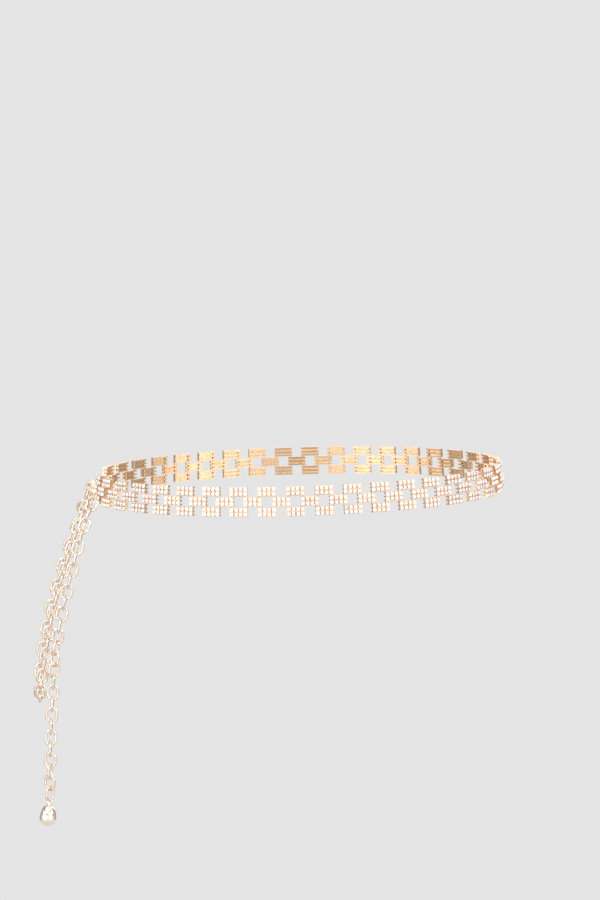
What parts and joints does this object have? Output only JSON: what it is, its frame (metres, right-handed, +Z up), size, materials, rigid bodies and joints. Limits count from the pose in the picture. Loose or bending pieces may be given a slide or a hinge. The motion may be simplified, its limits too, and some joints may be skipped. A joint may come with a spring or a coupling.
{
  "type": "waist chain",
  "caption": "Flexible jewelled waist band of staggered rhinestone tiles with a hip clasp, a looped swag chain and a ball-ended tail.",
  "frame": {"origin": "middle of the wearer's waist, level with the middle of the band", "axes": "+Z up along the wearer's body, -Y towards the wearer's front, +X towards the wearer's left"},
  "size_m": [0.2914, 0.1936, 0.2276],
  "materials": {
    "tile_metal": "polished champagne gold plate with clear stones",
    "ring_metal": "polished champagne gold plate",
    "clasp_metal": "polished champagne gold plate",
    "chain_metal": "polished champagne gold plate",
    "ball_metal": "polished champagne gold plate"
  },
  "bodies": {
    "belt": {"outer_links": "tile_metal", "middle_tiles": "tile_metal", "front_end_tile": "tile_metal", "back_end_tile": "tile_metal", "front_ring": "ring_metal", "back_ring": "ring_metal", "swag_ring": "ring_metal", "clasp_body": "clasp_metal", "swag_chain": "chain_metal", "tail_chain": "chain_metal", "end_ball": "ball_metal"},
    "lever": {"clasp_lever": "clasp_metal"}
  },
  "joints": [
    {"name": "lever_hinge", "type": "hinge", "parent": "belt", "child": "lever", "pos_m": [-0.12632, 0.0015, -0.00833], "axis": [0.9996, -0.0008, 0.0297], "range_deg": [0, 14], "stiffness_Nm_per_rad": 0.01, "springref_deg": -11.46}
  ]
}
